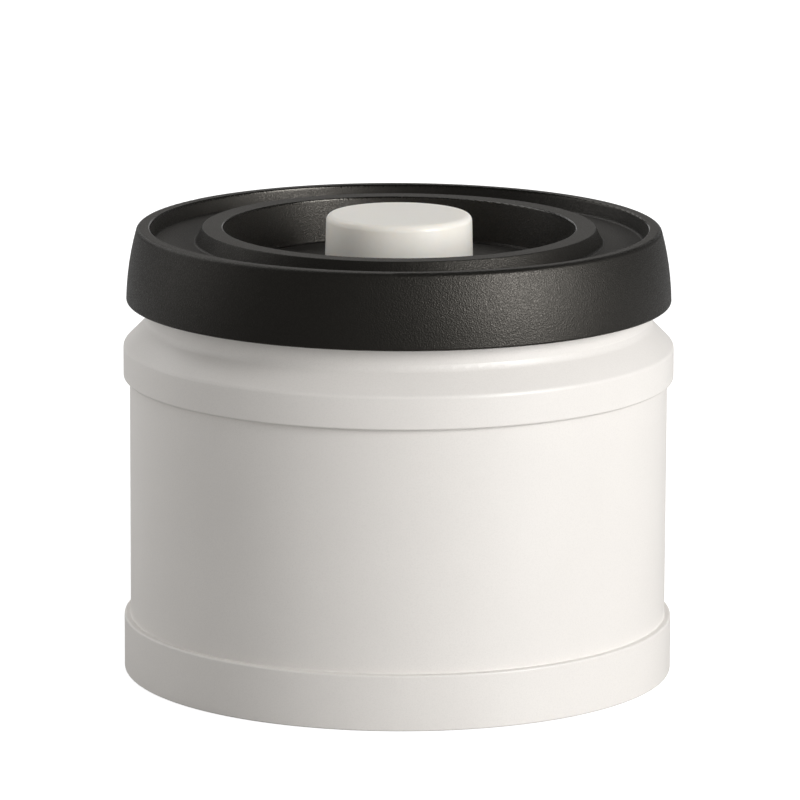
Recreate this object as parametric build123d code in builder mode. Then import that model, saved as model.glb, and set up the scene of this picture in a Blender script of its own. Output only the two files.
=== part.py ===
from build123d import *
import os
from math import cos, radians, tan

# Vacuum seal canister, in millimetres. The origin is the middle of the base and +Z is up.
# Everything is turned about Z, so each section is drawn as (radius, height) and revolved.
os.makedirs("parts", exist_ok=True)

# Body: one moulded shell with a foot band, a straight wall, a shoulder band and a neck
body_radius = 53.45  # the straight wall
band_step = 1.25  # how far both bands stand out from the wall
shoulder_run = 4.55  # from the shoulder band in to the neck
body_wall = 2.0
floor_thickness = 2.4
base_recess = 1.5  # the floor is lifted inside the foot ring
foot_ring_width = 4.5
foot_band_height = 11.05
wall_height = 48.15  # between the two bands
shoulder_band_height = 6.45  # the upright part of the shoulder band
shoulder_slope = 45  # degrees
neck_height = 13.82

foot_edge_round = 0.3
base_recess_round = 0.5
band_edge_round = 0.4
band_corner_round = 0.2
shoulder_round = 1.1
neck_foot_round = 2.0
neck_lip_round = 0.7
inner_floor_round = 3.0
inner_shoulder_round = 2.0

# Cover of the lid, from its skirt in to the well
lid_seat_gap = 0.3  # between the lip of the neck and the cover
cover_floor = 1.8  # thickness of the channel floor and the well floor
skirt_depth = 11.67  # from the channel floor down
skirt_overhang = 3.97  # the bottom of the skirt stands this far out from the neck
skirt_wall = 1.9
skirt_bulge = 0.5  # rise of the skirt's arc over its chord
skirt_clearance = 0.9  # from the neck to the inside of the skirt, at the top
rim_overhang = 1.77  # the top of the skirt, out from the neck
rim_rise = 3.03  # from the channel floor up
rim_width = 2.42
rim_slope_run = 1.0  # inside of the rim, from its crest down to the channel
channel_width = 8.05
ring_rise = 3.0
ring_slope_run = 1.51
ring_width = 3.97
ring_wall = 1.4
well_depth = 8.75
well_draft_run = 1.17

skirt_edge_round = 0.45
rim_outer_round = 1.0
rim_inner_round = 0.35
channel_round = 0.6
ring_round = 0.3
well_round = 0.7
hollow_round = 0.5

# Push button, its guide in the well, and its spring
button_radius = 14.55
button_draft_run = 0.12  # each way from the middle of its side
button_wall = 1.65
button_top = 1.8
button_proud = 2.55  # above the ring
button_round = 1.3
button_travel = 2.3
button_end_gap = 0.3  # left under the button when it is pressed right down
guide_clearance = 0.3
collar_height = 6.0
collar_wall = 1.3
collar_round = 0.3
vent_count = 6
vent_radius = 1.2

stem_radius = 2.5
stem_fit = 0.05
stem_clearance = 0.3  # in the guide hole of the well floor
stem_chamfer = 0.2
boss_wall = 1.5
cap_boss_depth = 4.0
guide_boss_height = 2.4
spring_wire = 0.8
spring_boss_gap = 0.6  # between the bosses and the inside of the spring
spring_turns = 5

# Plug under the cover, with the seal and the valve
plug_clearance = 0.8  # from the bore of the neck
seal_groove_depth = 1.1
seal_groove_height = 4.0
plug_flange = 1.8  # below the groove
plug_wall = 2.55
plug_plate = 1.6
air_gap = 1.2  # between the plate and the well floor, where the air passes
plug_edge_round = 0.8
snap_clearance = 0.15
snap_ring_wall = 1.6
snap_ring_depth = 4.4
snap_bead = 0.35
snap_bead_height = 1.0
seal_fit = 0.05  # between the ring and its groove
seal_wall = 0.9
seal_gap = 0.2  # from the tips of the lips to the bore of the neck
lip_root = 1.1
lip_tip = 0.3
lip_rise = 0.5  # the tips point up, as they do when the lid has been pushed down
lip_edge_gap = 0.35
port_air_gap = 1.2  # round the stem in the port
seat_bead_height = 0.5
seat_bead_width = 0.8
seat_bead_offset = 1.2  # from the port to the bead
disc_overlap = 2.8  # of the valve disc past the bead
disc_thickness = 1.6
disc_edge = 0.4
retainer_radius = 5.0
retainer_flange = 1.2
retainer_hub_wall = 1.4
retainer_hub_depth = 1.2
retainer_end = 0.8
retainer_round = 0.4

# Radii that follow from these
band_radius = body_radius + band_step
neck_radius = band_radius - shoulder_run
inner_radius = body_radius - body_wall
bore_radius = neck_radius - body_wall
skirt_radius = neck_radius + skirt_overhang
rim_radius = neck_radius + rim_overhang
rim_inner_radius = rim_radius - rim_width
channel_outer = rim_inner_radius - rim_slope_run
channel_inner = channel_outer - channel_width
ring_outer = channel_inner - ring_slope_run
ring_inner = ring_outer - ring_width
well_radius = ring_inner - well_draft_run
cap_bore = button_radius - button_wall
collar_radius = cap_bore - guide_clearance
collar_bore = collar_radius - collar_wall
stem_bore = stem_radius + stem_fit
guide_bore = stem_radius + stem_clearance
boss_radius = guide_bore + boss_wall
spring_radius = boss_radius + spring_boss_gap + spring_wire / 2
plug_radius = bore_radius - plug_clearance
groove_radius = plug_radius - seal_groove_depth
plug_inner = groove_radius - plug_wall
snap_outer = plug_inner - snap_clearance
snap_bore = snap_outer - snap_ring_wall
port_radius = stem_radius + port_air_gap
bead_inner = port_radius + seat_bead_offset
bead_outer = bead_inner + seat_bead_width
disc_radius = bead_outer + disc_overlap

# Heights that follow from these
floor_top = base_recess + floor_thickness
wall_end = foot_band_height + wall_height
slope_start = wall_end + shoulder_band_height
slope_rise = tan(radians(shoulder_slope))
slope_end = slope_start + shoulder_run * slope_rise
neck_top = slope_end + neck_height
cover_underside = neck_top + lid_seat_gap
channel_floor = cover_underside + cover_floor
skirt_bottom = channel_floor - skirt_depth
rim_top = channel_floor + rim_rise
ring_top = channel_floor + ring_rise
well_floor = ring_top - well_depth
well_underside = well_floor - cover_floor
collar_top = well_floor + collar_height
cap_top = ring_top + button_proud
cap_ceiling = cap_top - button_top
cap_bottom = well_floor + button_travel + button_end_gap
plate_top = well_underside - air_gap
plate_bottom = plate_top - plug_plate
groove_bottom = plate_bottom + plug_flange
groove_top = groove_bottom + seal_groove_height
disc_top = plate_bottom - seat_bead_height
disc_bottom = disc_top - disc_thickness
retainer_step = disc_bottom - retainer_flange
stem_end = retainer_step - retainer_hub_depth + retainer_end
retainer_end_face = stem_end - retainer_end


def round_corners(corners):
    """Rounds the corners of the section in hand, each given as radius, height and round."""
    for r, z, corner_round in corners:
        fillet(vertices().sort_by_distance((r, z))[0], radius=corner_round)


# Canister body
slope_drop = body_wall / cos(radians(shoulder_slope))
inner_slope_start = slope_start + (band_radius - inner_radius) * slope_rise - slope_drop
inner_slope_end = slope_start + (band_radius - bore_radius) * slope_rise - slope_drop
recess_radius = band_radius - foot_ring_width

with BuildPart() as canister_body:
    with BuildSketch(Plane.XZ):
        with BuildLine():
            Polyline(
                (0, base_recess),
                (recess_radius, base_recess),
                (recess_radius, 0),
                (band_radius, 0),
                (band_radius, foot_band_height),
                (body_radius, foot_band_height),
                (body_radius, wall_end),
                (band_radius, wall_end),
                (band_radius, slope_start),
                (neck_radius, slope_end),
                (neck_radius, neck_top),
                (bore_radius, neck_top),
                (bore_radius, inner_slope_end),
                (inner_radius, inner_slope_start),
                (inner_radius, floor_top),
                (0, floor_top),
                close=True,
            )
        make_face()
        round_corners(
            [
                (recess_radius, base_recess, base_recess_round),
                (recess_radius, 0, foot_edge_round),
                (band_radius, 0, foot_edge_round),
                (band_radius, foot_band_height, band_edge_round),
                (body_radius, foot_band_height, band_corner_round),
                (body_radius, wall_end, band_corner_round),
                (band_radius, wall_end, band_edge_round),
                (band_radius, slope_start, shoulder_round),
                (neck_radius, slope_end, neck_foot_round),
                (neck_radius, neck_top, neck_lip_round),
                (bore_radius, neck_top, neck_lip_round),
                (inner_radius, inner_slope_start, inner_shoulder_round),
                (inner_radius, floor_top, inner_floor_round),
            ]
        )
    revolve(axis=Axis.Z)
canister_body.part.label = "canister_body"

# Cover: the skirt, rim, channel, ring and well are one skin
snap_bottom = cover_underside - snap_ring_depth
vent_circle = (collar_bore + spring_radius + spring_wire / 2) / 2

with BuildPart() as lid_shell:
    with BuildSketch(Plane.XZ):
        with BuildLine():
            SagittaArc((skirt_radius, skirt_bottom), (rim_radius, rim_top), -skirt_bulge)
            Polyline(
                (rim_radius, rim_top),
                (rim_inner_radius, rim_top),
                (channel_outer, channel_floor),
                (channel_inner, channel_floor),
                (ring_outer, ring_top),
                (ring_inner, ring_top),
                (well_radius, well_floor),
                (guide_bore, well_floor),
                (guide_bore, well_underside),
                (well_radius + ring_wall, well_underside),
                (ring_inner + ring_wall, ring_top - ring_wall),
                (ring_outer - ring_wall, ring_top - ring_wall),
                (channel_inner - ring_wall, cover_underside),
                (neck_radius + skirt_clearance, cover_underside),
                (skirt_radius - skirt_wall, skirt_bottom),
                (skirt_radius, skirt_bottom),
            )
        make_face()
        round_corners(
            [
                (skirt_radius, skirt_bottom, skirt_edge_round),
                (skirt_radius - skirt_wall, skirt_bottom, skirt_edge_round),
                (rim_radius, rim_top, rim_outer_round),
                (rim_inner_radius, rim_top, rim_inner_round),
                (channel_outer, channel_floor, channel_round),
                (channel_inner, channel_floor, channel_round),
                (ring_outer, ring_top, ring_round),
                (ring_inner, ring_top, ring_round),
                (well_radius, well_floor, well_round),
                (well_radius + ring_wall, well_underside, well_round),
                (neck_radius + skirt_clearance, cover_underside, hollow_round),
            ]
        )
    revolve(axis=Axis.Z)
    # Collar that the button slides on
    with BuildSketch(Plane.XZ):
        with BuildLine():
            Polyline(
                (collar_bore, well_floor),
                (collar_bore, collar_top),
                (collar_radius, collar_top),
                (collar_radius, well_floor),
                close=True,
            )
        make_face()
        round_corners([(collar_bore, collar_top, collar_round), (collar_radius, collar_top, collar_round)])
    revolve(axis=Axis.Z)
    # Boss round the stem's hole
    with BuildSketch(Plane.XY.offset(well_floor)):
        Circle(boss_radius)
        Circle(guide_bore, mode=Mode.SUBTRACT)
    extrude(amount=guide_boss_height)
    # Vents between the boss and the collar
    with BuildSketch(Plane.XY.offset(well_floor)):
        with PolarLocations(vent_circle, vent_count):
            Circle(vent_radius)
    extrude(amount=-cover_floor, mode=Mode.SUBTRACT)
    # Ring with a bead at its end, which the plug snaps onto
    with BuildSketch(Plane.XZ):
        with BuildLine():
            Polyline(
                (snap_bore, cover_underside),
                (snap_bore, snap_bottom),
                (snap_outer, snap_bottom),
                (snap_outer + snap_bead, snap_bottom + snap_bead),
                (snap_outer + snap_bead, snap_bottom + snap_bead_height - snap_bead),
                (snap_outer, snap_bottom + snap_bead_height),
                (snap_outer, cover_underside),
                close=True,
            )
        make_face()
    revolve(axis=Axis.Z)
lid_shell.part.label = "lid_shell"

# Plug: a dish that closes the neck, with the seal's groove outside and the air port in the middle
snap_groove_bottom = snap_bottom - snap_clearance
snap_groove_top = snap_bottom + snap_bead_height + snap_clearance
snap_groove_radius = snap_outer + snap_bead + snap_clearance

with BuildPart() as inner_lid:
    with BuildSketch(Plane.XZ):
        with BuildLine():
            Polyline(
                (port_radius, plate_bottom),
                (bead_inner, plate_bottom),
                (bead_inner, disc_top),
                (bead_outer, disc_top),
                (bead_outer, plate_bottom),
                (plug_radius, plate_bottom),
                (plug_radius, groove_bottom),
                (groove_radius, groove_bottom),
                (groove_radius, groove_top),
                (plug_radius, groove_top),
                (plug_radius, cover_underside),
                (plug_inner, cover_underside),
                (plug_inner, snap_groove_top),
                (snap_groove_radius, snap_groove_top),
                (snap_groove_radius, snap_groove_bottom),
                (plug_inner, snap_groove_bottom),
                (plug_inner, plate_top),
                (port_radius, plate_top),
                close=True,
            )
        make_face()
        round_corners(
            [
                (plug_radius, plate_bottom, plug_edge_round),
                (plug_radius, cover_underside, plug_edge_round),
                (plug_inner, plate_top, plug_edge_round),
            ]
        )
    revolve(axis=Axis.Z)
inner_lid.part.label = "inner_lid"

# Lip seal: a ring in the plug's groove, with two lips that wipe the bore
seal_inner = groove_radius + seal_fit
seal_outer = groove_radius + seal_wall
lip_radius = bore_radius - seal_gap
seal_bottom = groove_bottom + seal_fit
seal_top = groove_top - seal_fit
lower_lip = seal_bottom + lip_edge_gap
upper_lip = seal_top - lip_edge_gap - lip_root

with BuildPart() as lip_seal:
    with BuildSketch(Plane.XZ):
        with BuildLine():
            Polyline(
                (seal_inner, seal_bottom),
                (seal_outer, seal_bottom),
                (seal_outer, lower_lip),
                (lip_radius, lower_lip + lip_rise),
                (lip_radius, lower_lip + lip_rise + lip_tip),
                (seal_outer, lower_lip + lip_root),
                (seal_outer, upper_lip),
                (lip_radius, upper_lip + lip_rise),
                (lip_radius, upper_lip + lip_rise + lip_tip),
                (seal_outer, upper_lip + lip_root),
                (seal_outer, seal_top),
                (seal_inner, seal_top),
                close=True,
            )
        make_face()
    revolve(axis=Axis.Z)
lip_seal.part.label = "lip_seal"

# Push button: a round cap with a boss under its top for the stem
with BuildPart() as button_cap:
    with BuildSketch(Plane.XZ):
        with BuildLine():
            Polyline(
                (0, cap_top),
                (button_radius - button_draft_run, cap_top),
                (button_radius + button_draft_run, cap_bottom),
                (cap_bore, cap_bottom),
                (cap_bore, cap_ceiling),
                (boss_radius, cap_ceiling),
                (boss_radius, cap_ceiling - cap_boss_depth),
                (stem_bore, cap_ceiling - cap_boss_depth),
                (stem_bore, cap_ceiling),
                (0, cap_ceiling),
                close=True,
            )
        make_face()
        round_corners(
            [
                (button_radius - button_draft_run, cap_top, button_round),
                (button_radius + button_draft_run, cap_bottom, collar_round),
                (cap_bore, cap_ceiling, collar_round),
            ]
        )
    revolve(axis=Axis.Z)
button_cap.part.label = "button_cap"

# Stem: from the button's top down through the cover, the port and the valve disc
with BuildPart() as valve_stem:
    with BuildSketch(Plane.XY.offset(stem_end)):
        Circle(stem_radius)
    extrude(amount=cap_ceiling - stem_end)
    chamfer(edges().filter_by(GeomType.CIRCLE), length=stem_chamfer)
valve_stem.part.label = "valve_stem"

# Spring: one unbroken coil from the well floor to the button's top
coil_bottom = well_floor + spring_wire / 2
coil_height = cap_ceiling - well_floor - spring_wire
coil_pitch = coil_height / spring_turns
with BuildPart() as button_spring:
    with BuildLine():
        coil = Helix(pitch=coil_pitch, height=coil_height, radius=spring_radius, center=(0, 0, coil_bottom))
    with BuildSketch(Plane(origin=coil @ 0, z_dir=coil % 0)):
        Circle(spring_wire / 2)
    sweep(is_frenet=True)
button_spring.part.label = "button_spring"
print("least gap between the turns of the spring:", round(coil_pitch - spring_wire, 3))

# Valve disc: pulled up against the bead round the port
with BuildPart() as valve_disc:
    with BuildSketch(Plane.XZ):
        with BuildLine():
            Polyline(
                (stem_bore, disc_bottom),
                (retainer_radius, disc_bottom),
                (disc_radius, disc_top - disc_edge),
                (disc_radius, disc_top),
                (stem_bore, disc_top),
                close=True,
            )
        make_face()
    revolve(axis=Axis.Z)
valve_disc.part.label = "valve_disc"

# Retainer: a push-on cap that holds the disc on the stem and closes over its end
hub_radius = stem_bore + retainer_hub_wall
with BuildPart() as stem_retainer:
    with BuildSketch(Plane.XZ):
        with BuildLine():
            Polyline(
                (0, retainer_end_face),
                (hub_radius, retainer_end_face),
                (hub_radius, retainer_step),
                (retainer_radius, retainer_step),
                (retainer_radius, disc_bottom),
                (stem_bore, disc_bottom),
                (stem_bore, stem_end),
                (0, stem_end),
                close=True,
            )
        make_face()
        round_corners(
            [
                (hub_radius, retainer_end_face, retainer_round),
                (retainer_radius, retainer_step, retainer_round),
            ]
        )
    revolve(axis=Axis.Z)
stem_retainer.part.label = "stem_retainer"

for piece in (
    canister_body,
    lid_shell,
    inner_lid,
    lip_seal,
    button_cap,
    valve_stem,
    button_spring,
    valve_disc,
    stem_retainer,
):
    export_step(piece.part, f"parts/{piece.part.label}.step")
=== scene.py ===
import math

import bmesh
import bpy
from bpy.props import FloatProperty, FloatVectorProperty, IntProperty, PointerProperty
from mathutils import Matrix, Vector


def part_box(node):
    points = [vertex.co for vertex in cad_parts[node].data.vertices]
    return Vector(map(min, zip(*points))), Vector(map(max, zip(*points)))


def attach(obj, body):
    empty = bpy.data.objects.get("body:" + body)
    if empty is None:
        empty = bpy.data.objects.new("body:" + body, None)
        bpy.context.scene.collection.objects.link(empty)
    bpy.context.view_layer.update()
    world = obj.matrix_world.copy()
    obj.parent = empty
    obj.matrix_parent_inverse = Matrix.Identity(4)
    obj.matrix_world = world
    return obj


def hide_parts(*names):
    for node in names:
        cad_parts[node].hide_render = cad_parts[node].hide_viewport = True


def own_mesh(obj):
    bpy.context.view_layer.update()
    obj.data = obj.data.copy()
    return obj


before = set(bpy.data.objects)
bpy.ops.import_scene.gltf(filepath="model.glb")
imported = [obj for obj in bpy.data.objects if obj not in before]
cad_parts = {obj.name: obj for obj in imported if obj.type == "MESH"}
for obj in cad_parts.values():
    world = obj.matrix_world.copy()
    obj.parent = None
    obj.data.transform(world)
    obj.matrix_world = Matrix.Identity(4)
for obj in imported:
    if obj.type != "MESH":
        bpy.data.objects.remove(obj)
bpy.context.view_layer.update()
WELL_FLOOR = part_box("button_spring")[0].z
SPRING_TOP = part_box("button_spring")[1].z
RIM_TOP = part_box("lid_shell")[1].z
SKIRT_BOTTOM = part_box("lid_shell")[0].z
MILLIMETRE = 0.001

# Radii of the inner crests of the lid's rim and ring
RIM_CREST = 49.7 * MILLIMETRE
RING_CREST = 35.2 * MILLIMETRE

# The point on the axis that the softboxes look at
LAMP_TARGET = Vector((0, 0, 0.05))

bl_info = {
    "name": "Vacuum Seal Canister",
    "version": (1, 0, 0),
    "blender": (4, 5, 0),
    "location": "3D View > Sidebar > Canister",
    "description": "Finishes the pieces of a push-button canister and lights it in a small studio",
    "category": "Object",
}


def colour(name, description, default):
    """A linear colour that the user can change."""
    return FloatVectorProperty(
        name=name, description=description, subtype="COLOR", size=3, min=0, max=1, default=default
    )


def length(name, description, default):
    """A length in metres that the user can change."""
    return FloatProperty(
        name=name, description=description, unit="LENGTH", min=0, precision=5, default=default
    )


def share(name, description, default):
    """A plain number from 0 to 1 that the user can change."""
    return FloatProperty(name=name, description=description, min=0, max=1, default=default)


def power(name, description, default):
    """A lamp's power in watts."""
    return FloatProperty(name=name, description=description, unit="POWER", min=0, default=default)


class CanisterColours(bpy.types.PropertyGroup):
    """Colours of the pieces, linear, and one painted lighter black for the cover's level faces."""

    body: colour("Body", "Warm white of the moulded body", (0.74, 0.712, 0.68))
    cover: colour("Cover", "Warm near-black of the lid's cover", (0.0038, 0.0036, 0.0031))
    # Painted light, not the plastic's own colour: a lighter grey-black painted on the cover's level
    # faces for the light they catch.
    cover_top_painted_light: colour("Cover top", "Greyer black of the cover's level faces", (0.045, 0.0435, 0.041))
    button: colour("Button", "Warm white of the push button", (0.84, 0.8, 0.735))
    plug: colour("Plug", "Natural plastic of the plug, stem and retainer", (0.62, 0.62, 0.59))
    silicone: colour("Silicone", "Milky silicone of the seal and the valve disc", (0.6, 0.6, 0.57))
    steel: colour("Steel", "Drawn stainless wire", (0.58, 0.57, 0.55))


class CanisterGrain(bpy.types.PropertyGroup):
    """Size and depth of the texture of each finish."""

    body_size: length("Body grain", "Width of one grain on the body", 0.28 * MILLIMETRE)
    body_depth: length("Body grain depth", "Depth of the body's grain", 0.012 * MILLIMETRE)
    cover_size: length("Cover grain", "Width of one spark-eroded pit on the cover", 0.27 * MILLIMETRE)
    cover_depth: length("Cover grain depth", "Depth of the cover's pits", 0.06 * MILLIMETRE)
    button_size: length("Button ripple", "Width of the button's slight ripple", 1.4 * MILLIMETRE)
    button_depth: length("Button ripple depth", "Depth of that ripple", 0.004 * MILLIMETRE)
    patch_size: length("Patch size", "Width of the slow patches in colour and gloss", 18 * MILLIMETRE)


class CanisterSpring(bpy.types.PropertyGroup):
    """The button's coil spring."""

    wire: length("Wire", "Diameter of the spring's wire", 0.8 * MILLIMETRE)
    turns: FloatProperty(name="Open turns", description="Turns that move", min=1, default=4.2)
    closed_turns: FloatProperty(
        name="Closed turns", description="Flat turns at each end", min=0, default=1.0
    )
    steps: IntProperty(name="Steps", description="Rings of the mesh in each turn", min=12, default=40)
    sides: IntProperty(name="Sides", description="Sides of the wire's section", min=6, default=14)


class CanisterStudio(bpy.types.PropertyGroup):
    """Camera, lights, floor and backdrop."""

    camera_distance: length("Camera distance", "From the canister's axis to the camera", 1.2552)
    camera_height: length("Camera height", "Above the floor", 0.3112)
    camera_side: length("Camera side step", "To the right of the axis", 0.00032)
    camera_pitch: FloatProperty(
        name="Camera pitch",
        description="Looks down by this",
        subtype="ANGLE",
        default=math.radians(11.58),
    )
    camera_roll: FloatProperty(
        name="Camera roll",
        description="Leans anticlockwise",
        subtype="ANGLE",
        default=math.radians(0.247),
    )
    lens: FloatProperty(name="Lens", description="Focal length", unit="CAMERA", default=289.39)
    key_power: power("Key power", "Softbox at the front right", 19.8)
    fill_power: power("Fill power", "Low softbox at the left", 1.2)
    left_power: power("Left power", "High softbox at the back left", 2.2)
    low_power: power("Low power", "Low softbox at the back left", 5.6)
    right_power: power("Right power", "Low softbox at the back right", 2.0)
    back_power: power("Back power", "High softbox behind the canister", 1.1)
    ambient: share("Ambient", "Strength of the room's own light", 0.87)
    ceiling: share("Ceiling", "How much of the room's light comes from straight above", 0.22)
    gloss_room: share("Room in gloss", "How much of the room gloss shows past the black flags", 0.15)
    gloss_backdrop: share("Backdrop in gloss", "How much of the white backdrop gloss shows", 0.78)
    backdrop_spread: FloatProperty(
        name="Backdrop spread", description="Half its width", subtype="ANGLE", default=math.radians(24)
    )
    gloss_floor: share("Floor in gloss", "How much gloss shows of the white floor behind", 0.35)
    floor_shade: share("Floor shade", "How pale the floor's own paper is", 0.45)
    gloss_paper: share("Paper in gloss", "How pale gloss sees that paper, past the black flags", 0.15)
    floor_lift: share("Floor lift", "White that the camera adds to the floor", 0.8)


class Nodes:
    """A node tree with short ways to add and join its nodes."""

    def __init__(self, tree):
        self.tree = tree
        tree.nodes.clear()

    def add(self, kind, **settings):
        node = self.tree.nodes.new(kind)
        for name, value in settings.items():
            setattr(node, name, value)
        return node

    def join(self, source, target):
        self.tree.links.new(source, target)

    def math(self, operation, first, second, clamp=False):
        """A Math node on two sockets or numbers; gives its output socket."""
        node = self.add("ShaderNodeMath", operation=operation, use_clamp=clamp)
        for socket, value in zip(node.inputs, (first, second)):
            if isinstance(value, (int, float)):
                socket.default_value = value
            else:
                self.join(value, socket)
        return node.outputs[0]

    def ramp(self, value, low, high, at_low, at_high):
        """A smooth step from at_low, where the value is low, to at_high, where it is high."""
        node = self.add("ShaderNodeMapRange", interpolation_type="SMOOTHSTEP")
        self.join(value, node.inputs["Value"])
        for name, end in zip(("From Min", "From Max", "To Min", "To Max"), (low, high, at_low, at_high)):
            node.inputs[name].default_value = end
        return node.outputs["Result"]

    def spread(self, value, low, high):
        """Maps a value from 0 to 1 on to low to high."""
        node = self.add("ShaderNodeMapRange")
        self.join(value, node.inputs["Value"])
        for name, end in (("To Min", low), ("To Max", high)):
            node.inputs[name].default_value = end
        return node.outputs["Result"]

    def part(self, vector, axis):
        """The X, Y or Z of a vector socket."""
        node = self.add("ShaderNodeSeparateXYZ")
        self.join(vector, node.inputs["Vector"])
        return node.outputs[axis]

    def per_size(self, vector, size):
        """A vector socket in units of a size socket."""
        node = self.add("ShaderNodeVectorMath", operation="SCALE")
        self.join(vector, node.inputs[0])
        self.join(self.math("DIVIDE", 1, size), node.inputs["Scale"])
        return node.outputs["Vector"]

    def noise(self, vector, scale, detail, roughness=0.5):
        """Noise from 0 to 1 on a vector socket."""
        node = self.add("ShaderNodeTexNoise")
        self.join(vector, node.inputs["Vector"])
        for name, value in (("Scale", scale), ("Detail", detail), ("Roughness", roughness)):
            node.inputs[name].default_value = value
        return node.outputs["Fac"]


def new_group(name, inputs, outputs):
    """An empty shader node group; inputs are (name, socket type, default)."""
    tree = bpy.data.node_groups.new(name, "ShaderNodeTree")
    for socket_name, kind, default in inputs:
        socket = tree.interface.new_socket(socket_name, in_out="INPUT", socket_type=kind)
        if default is not None:
            socket.default_value = default
    for socket_name, kind in outputs:
        tree.interface.new_socket(socket_name, in_out="OUTPUT", socket_type=kind)
    nodes = Nodes(tree)
    return nodes, nodes.add("NodeGroupInput"), nodes.add("NodeGroupOutput")


def moulded_grain_group():
    """Fine pits and bumps that a spark-eroded mould leaves, as a height and as a fleck mask."""
    if "Moulded Grain" in bpy.data.node_groups:
        return bpy.data.node_groups["Moulded Grain"]
    nodes, given, made = new_group(
        "Moulded Grain",
        [
            ("Vector", "NodeSocketVector", None),
            ("Grain Size", "NodeSocketFloat", 0.3 * MILLIMETRE),
            ("Pits", "NodeSocketFloat", 0.5),
        ],
        [("Height", "NodeSocketFloat"), ("Fleck", "NodeSocketFloat")],
    )
    fleck_start, fleck_full = 0.42, 0.68
    place = nodes.per_size(given.outputs["Vector"], given.outputs["Grain Size"])
    bumps = nodes.noise(place, scale=1, detail=2, roughness=0.6)
    pits = nodes.add("ShaderNodeTexVoronoi", feature="SMOOTH_F1")
    pits.inputs["Scale"].default_value = 0.8
    pits.inputs["Smoothness"].default_value = 0.35
    nodes.join(place, pits.inputs["Vector"])
    pit_depth = nodes.math("MULTIPLY", pits.outputs["Distance"], given.outputs["Pits"])
    nodes.join(nodes.math("ADD", bumps, pit_depth), made.inputs["Height"])
    nodes.join(nodes.ramp(bumps, fleck_start, fleck_full, 0, 1), made.inputs["Fleck"])
    return nodes.tree


def slow_patches_group():
    """Broad soft patches, from 0 to 1, in which a moulding's colour and gloss drift."""
    if "Slow Patches" in bpy.data.node_groups:
        return bpy.data.node_groups["Slow Patches"]
    nodes, given, made = new_group(
        "Slow Patches",
        [("Vector", "NodeSocketVector", None), ("Patch Size", "NodeSocketFloat", 18 * MILLIMETRE)],
        [("Value", "NodeSocketFloat")],
    )
    place = nodes.per_size(given.outputs["Vector"], given.outputs["Patch Size"])
    nodes.join(nodes.noise(place, scale=1, detail=3), made.inputs["Value"])
    return nodes.tree


def handled_band_group():
    """A band round a height, broken up by noise, where hands and cloths have polished a piece."""
    if "Handled Band" in bpy.data.node_groups:
        return bpy.data.node_groups["Handled Band"]
    nodes, given, made = new_group(
        "Handled Band",
        [
            ("Vector", "NodeSocketVector", None),
            ("Height", "NodeSocketFloat", 0.05),
            ("Width", "NodeSocketFloat", 1 * MILLIMETRE),
        ],
        [("Mask", "NodeSocketFloat")],
    )
    height = nodes.part(given.outputs["Vector"], "Z")
    away = nodes.math("ABSOLUTE", nodes.math("SUBTRACT", height, given.outputs["Height"]), 0)
    near = nodes.math("SUBTRACT", 1, nodes.math("DIVIDE", away, given.outputs["Width"]), clamp=True)
    worn = nodes.noise(given.outputs["Vector"], scale=700, detail=4)
    nodes.join(nodes.math("MULTIPLY", near, worn), made.inputs["Mask"])
    return nodes.tree


def wiped_edge_group():
    """A line round the axis at the top of a rim, broken up by noise, where cloths have wiped it smooth.

    It is full within 0.6 of its width and has faded out at 1.6 widths.
    """
    if "Wiped Edge" in bpy.data.node_groups:
        return bpy.data.node_groups["Wiped Edge"]
    nodes, given, made = new_group(
        "Wiped Edge",
        [
            ("Vector", "NodeSocketVector", None),
            ("Radius", "NodeSocketFloat", 0.05),
            ("Height", "NodeSocketFloat", 0.05),
            ("Width", "NodeSocketFloat", 0.4 * MILLIMETRE),
        ],
        [("Mask", "NodeSocketFloat")],
    )
    faded_out = 1.6
    height = nodes.part(given.outputs["Vector"], "Z")
    flat = nodes.add("ShaderNodeVectorMath", operation="MULTIPLY")
    flat.inputs[1].default_value = (1, 1, 0)
    nodes.join(given.outputs["Vector"], flat.inputs[0])
    out = nodes.add("ShaderNodeVectorMath", operation="LENGTH")
    nodes.join(flat.outputs["Vector"], out.inputs[0])
    outward = nodes.math("SUBTRACT", out.outputs["Value"], given.outputs["Radius"])
    beside = nodes.math("ABSOLUTE", outward, 0)
    below = nodes.math("SUBTRACT", given.outputs["Height"], height)
    away = nodes.math("DIVIDE", nodes.math("MAXIMUM", beside, below), given.outputs["Width"])
    near = nodes.math("SUBTRACT", faded_out, away, clamp=True)
    worn = nodes.noise(given.outputs["Vector"], scale=500, detail=3)
    broken = nodes.ramp(worn, 0.25, 0.5, 0.6, 1)
    nodes.join(nodes.math("MULTIPLY", near, broken), made.inputs["Mask"])
    return nodes.tree


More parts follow.
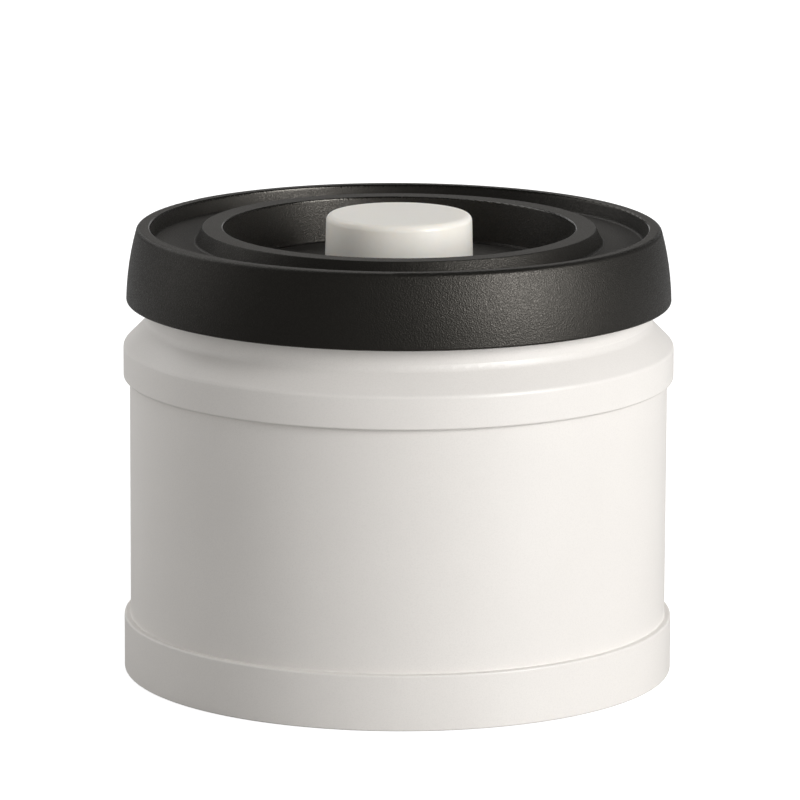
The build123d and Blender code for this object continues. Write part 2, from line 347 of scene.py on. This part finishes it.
class Finish(Nodes):
    """A material in the making: its Principled shader and the groups that feed it."""

    def __init__(self, name):
        self.material = bpy.data.materials.new(name)
        self.material.use_nodes = True
        super().__init__(self.material.node_tree)
        self.shader = self.add("ShaderNodeBsdfPrincipled")
        output = self.add("ShaderNodeOutputMaterial")
        self.join(self.shader.outputs["BSDF"], output.inputs["Surface"])
        self.place = self.add("ShaderNodeTexCoord").outputs["Object"]
        self.colour = self.fleck = self.height = self.gloss = None

    def group(self, tree, **values):
        """Places a node group, fed with the object's own coordinates."""
        node = self.add("ShaderNodeGroup", node_tree=tree)
        self.join(self.place, node.inputs["Vector"])
        for name, value in values.items():
            node.inputs[name.replace("_", " ").title()].default_value = value
        return node

    def mix_colour(self, first, second, mask):
        """Mixes the base colour from a socket, where the mask is 0, to a colour, where it is 1."""
        mix = self.add("ShaderNodeMix", data_type="RGBA")
        self.join(mask, mix.inputs[0])
        self.join(first, mix.inputs[6])
        mix.inputs[7].default_value = (*second, 1)
        self.colour = mix.outputs[2]
        self.join(self.colour, self.shader.inputs["Base Color"])

    def vary_colour(self, base, drift, fleck_tint, mask):
        """Scales the base colour by a drift, then moves it towards a tint by a mask."""
        plain = self.add("ShaderNodeVectorMath", operation="SCALE")
        plain.inputs[0].default_value = base
        self.join(drift, plain.inputs["Scale"])
        self.mix_colour(plain.outputs["Vector"], fleck_tint, mask)

    def facing_up(self):
        """1 on faces that lie level and look up, 0 on walls and edges."""
        tilted, level = 0.93, 0.995
        upward = self.part(self.add("ShaderNodeTexCoord").outputs["Normal"], "Z")
        return self.ramp(upward, tilted, level, 0, 1)

    def bump(self, height, depth):
        """Raises the surface by height times depth."""
        node = self.add("ShaderNodeBump")
        node.inputs["Strength"].default_value = 1
        node.inputs["Distance"].default_value = depth
        self.join(height, node.inputs["Height"])
        self.join(node.outputs["Normal"], self.shader.inputs["Normal"])


def moulded_finish(
    name, base, grain_size, grain_depth, pits, roughness, gloss_drift, fleck_tint, fleck_share
):
    """A moulded plastic: colour and gloss that drift, fine grain, and flecks in the grain.

    With no grain depth, the caller makes the bump.
    """
    colour_drift = 0.035
    finish = Finish(name)
    patch_size = bpy.context.scene.canister_grain.patch_size
    patches = finish.group(slow_patches_group(), patch_size=patch_size).outputs["Value"]
    grain = finish.group(moulded_grain_group(), grain_size=grain_size, pits=pits)
    finish.fleck = grain.outputs["Fleck"]
    finish.height = grain.outputs["Height"]
    flecked = finish.math("MULTIPLY", finish.fleck, fleck_share)
    drift = finish.spread(patches, 1 - colour_drift, 1 + colour_drift)
    finish.vary_colour(base, drift, fleck_tint, flecked)
    finish.gloss = finish.spread(patches, roughness - gloss_drift, roughness + gloss_drift)
    finish.join(finish.gloss, finish.shader.inputs["Roughness"])
    if grain_depth:
        finish.bump(finish.height, grain_depth)
    return finish


def tint(base, factor):
    """The colour made lighter or darker by a factor."""
    return tuple(min(1, c * factor) for c in base)


def body_finish():
    """Warm white satin plastic with a very fine grain."""
    base = bpy.context.scene.canister_colours.body
    grain = bpy.context.scene.canister_grain
    finish = moulded_finish(
        "Body Plastic",
        base,
        grain_size=grain.body_size,
        grain_depth=grain.body_depth,
        pits=0.3,
        roughness=0.38,
        gloss_drift=0.04,
        fleck_tint=tint(base, 0.93),
        fleck_share=0.5,
    )
    return finish.material


def cover_gloss(finish, wiped, level):
    """Roughness of the cover: less on flecks, handled edges and wiped crests, more on level faces."""
    handled_gain = 0.05
    fleck_gain = 0.2
    wiped_gain = 0.28
    level_loss = 0.3
    rim = finish.group(handled_band_group(), height=RIM_TOP, width=0.9 * MILLIMETRE)
    skirt_edge = finish.group(handled_band_group(), height=SKIRT_BOTTOM, width=1.2 * MILLIMETRE)
    handled = finish.math("MAXIMUM", rim.outputs["Mask"], skirt_edge.outputs["Mask"])
    crest = finish.math("MULTIPLY", wiped, finish.math("SUBTRACT", 1, level))
    gain = finish.math("MULTIPLY", handled, handled_gain)
    gain = finish.math("ADD", gain, finish.math("MULTIPLY", finish.fleck, fleck_gain))
    gain = finish.math("ADD", gain, finish.math("MULTIPLY", crest, wiped_gain))
    smooth = finish.math("SUBTRACT", finish.gloss, gain)
    return finish.math("ADD", smooth, finish.math("MULTIPLY", level, level_loss))


def cover_relief(finish, wiped):
    """Height of the cover's grain, which is shallower where the crests are wiped."""
    grain_middle = 0.77
    wiped_away = 0.8
    grain_left = finish.math("SUBTRACT", 1, finish.math("MULTIPLY", wiped, wiped_away))
    return finish.math("MULTIPLY", finish.math("SUBTRACT", finish.height, grain_middle), grain_left)


def cover_finish():
    """Near-black plastic with a spark-eroded skin, smoother on its crests and duller on level faces,
    which are also painted a lighter grey-black to stand in for the light they catch.
    """
    colours = bpy.context.scene.canister_colours
    grain = bpy.context.scene.canister_grain
    finish = moulded_finish(
        "Cover Plastic",
        colours.cover,
        grain_size=grain.cover_size,
        grain_depth=0,
        pits=0.6,
        roughness=0.53,
        gloss_drift=0.03,
        fleck_tint=tint(colours.cover, 2.2),
        fleck_share=1.0,
    )
    rim_crest = finish.group(wiped_edge_group(), radius=RIM_CREST, height=RIM_TOP)
    ring_crest = finish.group(wiped_edge_group(), radius=RING_CREST, height=RIM_TOP)
    wiped = finish.math("MAXIMUM", rim_crest.outputs["Mask"], ring_crest.outputs["Mask"])
    level = finish.facing_up()
    finish.join(cover_gloss(finish, wiped, level), finish.shader.inputs["Roughness"])
    # Painted light: the cover's level faces are painted a lighter grey-black, standing in for the light
    # they catch.
    finish.mix_colour(finish.colour, colours.cover_top_painted_light, level)
    finish.bump(cover_relief(finish, wiped), grain.cover_depth)
    finish.shader.inputs["Specular IOR Level"].default_value = 0.66
    finish.shader.inputs["Specular Tint"].default_value = (1, 0.94, 0.85, 1)
    return finish.material


def button_finish():
    """Off-white plastic with a soft gloss and a faint ripple."""
    base = bpy.context.scene.canister_colours.button
    grain = bpy.context.scene.canister_grain
    finish = moulded_finish(
        "Button Plastic",
        base,
        grain_size=grain.button_size,
        grain_depth=grain.button_depth,
        pits=0.2,
        roughness=0.3,
        gloss_drift=0.03,
        fleck_tint=tint(base, 0.97),
        fleck_share=0.3,
    )
    finish.shader.inputs["Subsurface Weight"].default_value = 0.5
    finish.shader.inputs["Subsurface Radius"].default_value = (1, 0.85, 0.7)
    finish.shader.inputs["Subsurface Scale"].default_value = 3 * MILLIMETRE
    return finish.material


def plug_finish():
    """Natural unpigmented plastic, smooth and a little milky."""
    base = bpy.context.scene.canister_colours.plug
    grain = bpy.context.scene.canister_grain
    finish = moulded_finish(
        "Plug Plastic",
        base,
        grain_size=grain.body_size,
        grain_depth=grain.body_depth,
        pits=0.3,
        roughness=0.36,
        gloss_drift=0.05,
        fleck_tint=tint(base, 0.92),
        fleck_share=0.5,
    )
    finish.shader.inputs["Subsurface Weight"].default_value = 0.15
    finish.shader.inputs["Subsurface Scale"].default_value = 1.5 * MILLIMETRE
    return finish.material


def silicone_finish():
    """Milky silicone with a dusty bloom."""
    base = bpy.context.scene.canister_colours.silicone
    grain = bpy.context.scene.canister_grain
    finish = moulded_finish(
        "Silicone",
        base,
        grain_size=grain.cover_size,
        grain_depth=grain.body_depth,
        pits=0.4,
        roughness=0.58,
        gloss_drift=0.06,
        fleck_tint=tint(base, 1.15),
        fleck_share=0.5,
    )
    finish.shader.inputs["Subsurface Weight"].default_value = 0.3
    finish.shader.inputs["Subsurface Scale"].default_value = 1.2 * MILLIMETRE
    finish.shader.inputs["Specular IOR Level"].default_value = 0.35
    return finish.material


def steel_finish():
    """Drawn stainless wire with a fine grain."""
    base = bpy.context.scene.canister_colours.steel
    finish = moulded_finish(
        "Spring Steel",
        base,
        grain_size=0.12 * MILLIMETRE,
        grain_depth=0.002 * MILLIMETRE,
        pits=0.2,
        roughness=0.26,
        gloss_drift=0.08,
        fleck_tint=tint(base, 0.8),
        fleck_share=0.5,
    )
    finish.shader.inputs["Metallic"].default_value = 1
    return finish.material


def dress(node, material):
    """Gives a CAD node its finish."""
    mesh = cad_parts[node].data
    mesh.materials.clear()
    mesh.materials.append(material)


def spring_mesh(settings, radius, low, high):
    """A compression spring with closed, ground ends, as one tube round the Z axis."""
    closed, opened = settings.closed_turns, settings.turns
    total = opened + 2 * closed
    half_wire = settings.wire / 2
    closed_rise = settings.wire * closed
    open_rise = high - low - settings.wire - 2 * closed_rise
    mesh = bmesh.new()
    rings = []
    count = int(total * settings.steps)
    for i in range(count + 1):
        turn = total * i / count
        into = min(max((turn - closed) / opened, 0), 1)
        ends = min(turn, closed) + max(turn - closed - opened, 0)
        height = low + half_wire + settings.wire * ends + open_rise * into
        angle = 2 * math.pi * turn
        out = Vector((math.cos(angle), math.sin(angle), 0))
        ring = []
        for k in range(settings.sides):
            around = 2 * math.pi * k / settings.sides
            z = height + half_wire * math.sin(around)
            z = min(max(z, low), high)
            point = out * (radius + half_wire * math.cos(around))
            ring.append(mesh.verts.new((point.x, point.y, z)))
        rings.append(ring)
    for first, second in zip(rings, rings[1:]):
        for k in range(settings.sides):
            nxt = (k + 1) % settings.sides
            mesh.faces.new((first[k], second[k], second[nxt], first[nxt]))
    mesh.faces.new(rings[0])
    mesh.faces.new(tuple(reversed(rings[-1])))
    bmesh.ops.recalc_face_normals(mesh, faces=mesh.faces)
    for face in mesh.faces:
        face.smooth = len(face.verts) == 4
    return mesh


class CANISTER_OT_body(bpy.types.Operator):
    """Finish the moulded body"""

    bl_idname = "canister.body"
    bl_label = "Body"

    def execute(self, context):
        dress("canister_body", body_finish())
        return {"FINISHED"}


class CANISTER_OT_cover(bpy.types.Operator):
    """Finish the lid's cover"""

    bl_idname = "canister.cover"
    bl_label = "Cover"

    def execute(self, context):
        dress("lid_shell", cover_finish())
        return {"FINISHED"}


class CANISTER_OT_button(bpy.types.Operator):
    """Finish the push button"""

    bl_idname = "canister.button"
    bl_label = "Button"

    def execute(self, context):
        dress("button_cap", button_finish())
        return {"FINISHED"}


class CANISTER_OT_plug(bpy.types.Operator):
    """Finish the plug, the stem and its retainer, which are all natural plastic"""

    bl_idname = "canister.plug"
    bl_label = "Plug and Stem"

    def execute(self, context):
        plastic = plug_finish()
        for node in ("inner_lid", "valve_stem", "stem_retainer"):
            dress(node, plastic)
        return {"FINISHED"}


class CANISTER_OT_seals(bpy.types.Operator):
    """Finish the lip seal and the valve disc"""

    bl_idname = "canister.seals"
    bl_label = "Seals"

    def execute(self, context):
        silicone = silicone_finish()
        for node in ("lip_seal", "valve_disc"):
            dress(node, silicone)
        return {"FINISHED"}


class CANISTER_OT_spring(bpy.types.Operator):
    """Wind the button's spring, which takes the place of the CAD spring"""

    bl_idname = "canister.spring"
    bl_label = "Spring"

    def execute(self, context):
        settings = context.scene.canister_spring
        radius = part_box("button_spring")[1].x - settings.wire / 2
        mesh = spring_mesh(settings, radius, WELL_FLOOR, SPRING_TOP)
        data = bpy.data.meshes.new("button_coil")
        mesh.to_mesh(data)
        mesh.free()
        data.materials.append(steel_finish())
        coil = bpy.data.objects.new("button_coil", data)
        context.scene.collection.objects.link(coil)
        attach(coil, "lid")
        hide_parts("button_spring")
        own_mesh(coil)
        return {"FINISHED"}


def aim(obj, place, target):
    """Puts a lamp at a place, looking at the target."""
    obj.location = place
    obj.rotation_mode = "QUATERNION"
    obj.rotation_quaternion = (target - place).to_track_quat("-Z", "Y")


def softbox(name, lamp_power, size, azimuth, elevation, distance, mirrored):
    """An area lamp round the canister; azimuth 0 is the camera's side and 90 its right.

    A lamp that isn't mirrored is polarised: it lights the canister but no gloss shows it.
    """
    lamp = bpy.data.lights.new(name, "AREA")
    lamp.shape = "RECTANGLE"
    lamp.size, lamp.size_y = size
    lamp.energy = lamp_power
    obj = bpy.data.objects.new(name, lamp)
    obj.visible_glossy = mirrored
    bpy.context.scene.collection.objects.link(obj)
    around = math.radians(azimuth)
    up = math.radians(elevation)
    away = Vector((math.sin(around) * math.cos(up), -math.cos(around) * math.cos(up), math.sin(up)))
    aim(obj, LAMP_TARGET + away * distance, LAMP_TARGET)


def seen_by_gloss(nodes, gloss_share):
    """1 for camera and transmission rays and a share for glossy ones, which see the white backdrop."""
    rays = nodes.add("ShaderNodeLightPath")
    gloss = nodes.math("MULTIPLY", rays.outputs["Is Glossy Ray"], gloss_share)
    camera, transmission = rays.outputs["Is Camera Ray"], rays.outputs["Is Transmission Ray"]
    seen = nodes.math("ADD", camera, transmission, clamp=True)
    return nodes.math("ADD", seen, gloss, clamp=True)


def make_room(studio):
    """The room's own soft light, and the white backdrop that camera, glass and gloss see behind."""
    world = bpy.data.worlds.new("Studio Room")
    bpy.context.scene.world = world
    world.use_nodes = True
    nodes = Nodes(world.node_tree)
    direction = nodes.add("ShaderNodeTexCoord").outputs["Generated"]
    half_width = studio.backdrop_spread
    behind = nodes.ramp(nodes.part(direction, "Y"), math.cos(half_width), math.cos(half_width / 2), 0, 1)
    gloss_ray = nodes.add("ShaderNodeLightPath").outputs["Is Glossy Ray"]
    level = nodes.ramp(gloss_ray, 0, 1, studio.ambient, studio.ambient * studio.gloss_room)
    overhead = nodes.ramp(nodes.part(direction, "Z"), 0, 1, 1, studio.ceiling)
    light = nodes.math("MULTIPLY", level, overhead)
    room = nodes.add("ShaderNodeBackground")
    room.inputs["Color"].default_value = (1, 0.995, 0.985, 1)
    nodes.join(light, room.inputs["Strength"])
    backdrop = nodes.add("ShaderNodeBackground")
    backdrop.inputs["Strength"].default_value = 1
    mix = nodes.add("ShaderNodeMixShader")
    output = nodes.add("ShaderNodeOutputWorld")
    gloss = nodes.math("MULTIPLY", behind, studio.gloss_backdrop)
    nodes.join(seen_by_gloss(nodes, gloss), mix.inputs["Fac"])
    nodes.join(room.outputs["Background"], mix.inputs[1])
    nodes.join(backdrop.outputs["Background"], mix.inputs[2])
    nodes.join(mix.outputs["Shader"], output.inputs["Surface"])


def floor_finish(studio):
    """Pale paper that the camera sees as white outside the object's shadow, and clear from below."""
    material = bpy.data.materials.new("Studio Floor")
    material.use_nodes = True
    nodes = Nodes(material.node_tree)
    paper = nodes.add("ShaderNodeBsdfDiffuse")
    gloss_ray = nodes.add("ShaderNodeLightPath").outputs["Is Glossy Ray"]
    shade = nodes.ramp(gloss_ray, 0, 1, studio.floor_shade, studio.gloss_paper)
    nodes.join(shade, paper.inputs["Color"])
    white_start, white_full = -0.05, 0.15
    along = nodes.part(nodes.add("ShaderNodeTexCoord").outputs["Object"], "Y")
    behind = nodes.ramp(along, white_start, white_full, 0, studio.gloss_floor)
    glow = nodes.add("ShaderNodeEmission")
    lift = nodes.math("MULTIPLY", seen_by_gloss(nodes, behind), studio.floor_lift)
    nodes.join(lift, glow.inputs["Strength"])
    both = nodes.add("ShaderNodeAddShader")
    clear = nodes.add("ShaderNodeBsdfTransparent")
    below = nodes.add("ShaderNodeNewGeometry").outputs["Backfacing"]
    mix = nodes.add("ShaderNodeMixShader")
    output = nodes.add("ShaderNodeOutputMaterial")
    nodes.join(paper.outputs["BSDF"], both.inputs[0])
    nodes.join(glow.outputs["Emission"], both.inputs[1])
    nodes.join(below, mix.inputs["Fac"])
    nodes.join(both.outputs["Shader"], mix.inputs[1])
    nodes.join(clear.outputs["BSDF"], mix.inputs[2])
    nodes.join(mix.outputs["Shader"], output.inputs["Surface"])
    return material


def make_floor(studio):
    """A wide sheet at the canister's base."""
    half = 3.0
    mesh = bpy.data.meshes.new("studio_floor")
    corners = [(-half, -half, 0), (half, -half, 0), (half, half, 0), (-half, half, 0)]
    mesh.from_pydata(corners, [], [(0, 1, 2, 3)])
    mesh.materials.append(floor_finish(studio))
    floor = bpy.data.objects.new("studio_floor", mesh)
    bpy.context.scene.collection.objects.link(floor)


def make_camera(studio):
    """A long lens in front of the canister, looking a little down."""
    data = bpy.data.cameras.new("Camera")
    data.sensor_width = 36
    data.lens = studio.lens
    data.clip_end = 50
    camera = bpy.data.objects.new("Camera", data)
    bpy.context.scene.collection.objects.link(camera)
    upright = Matrix.Rotation(math.radians(90) - studio.camera_pitch, 4, "X")
    lean = Matrix.Rotation(studio.camera_roll, 4, "Z")
    place = Matrix.Translation((studio.camera_side, -studio.camera_distance, studio.camera_height))
    camera.matrix_world = place @ upright @ lean
    bpy.context.scene.camera = camera


class CANISTER_OT_stage(bpy.types.Operator):
    """Set up the camera, the lights, the floor and the backdrop"""

    bl_idname = "canister.stage"
    bl_label = "Stage"

    def execute(self, context):
        studio = context.scene.canister_studio
        make_camera(studio)
        make_room(studio)
        make_floor(studio)
        for name, lamp_power, size, azimuth, elevation, distance, mirrored in (
            ("Key Softbox", studio.key_power, (0.65, 0.85), 53, 16, 1.5, True),
            ("Fill Softbox", studio.fill_power, (1.0, 0.6), -100, 13, 1.4, True),
            ("Left Softbox", studio.left_power, (0.9, 0.7), -135, 40, 1.3, True),
            ("Low Softbox", studio.low_power, (0.9, 0.7), -140, 13, 1.3, False),
            ("Right Softbox", studio.right_power, (0.6, 0.6), 135, 20, 1.2, False),
            ("Back Softbox", studio.back_power, (1.0, 0.8), 180, 42, 1.4, True),
        ):
            softbox(name, lamp_power, size, azimuth, elevation, distance, mirrored)
        context.scene.view_settings.view_transform = "Standard"
        return {"FINISHED"}


OPERATORS = (
    CANISTER_OT_body,
    CANISTER_OT_cover,
    CANISTER_OT_button,
    CANISTER_OT_plug,
    CANISTER_OT_seals,
    CANISTER_OT_spring,
    CANISTER_OT_stage,
)


class VIEW3D_PT_canister(bpy.types.Panel):
    """Every step of the canister, in order"""

    bl_label = "Canister"
    bl_space_type = "VIEW_3D"
    bl_region_type = "UI"
    bl_category = "Canister"

    def draw(self, context):
        for operator in OPERATORS:
            self.layout.operator(operator.bl_idname)


GROUPS = (
    ("canister_colours", CanisterColours),
    ("canister_grain", CanisterGrain),
    ("canister_spring", CanisterSpring),
    ("canister_studio", CanisterStudio),
)


def register():
    for name, group in GROUPS:
        bpy.utils.register_class(group)
        setattr(bpy.types.Scene, name, PointerProperty(type=group))
    for operator in OPERATORS:
        bpy.utils.register_class(operator)
    bpy.utils.register_class(VIEW3D_PT_canister)


def unregister():
    bpy.utils.unregister_class(VIEW3D_PT_canister)
    for operator in reversed(OPERATORS):
        bpy.utils.unregister_class(operator)
    for name, group in reversed(GROUPS):
        delattr(bpy.types.Scene, name)
        bpy.utils.unregister_class(group)


def main():
    register()
    bpy.ops.canister.body()
    bpy.ops.canister.cover()
    bpy.ops.canister.button()
    bpy.ops.canister.plug()
    bpy.ops.canister.seals()
    bpy.ops.canister.spring()
    bpy.ops.canister.stage()


if __name__ == "__main__":
    main()
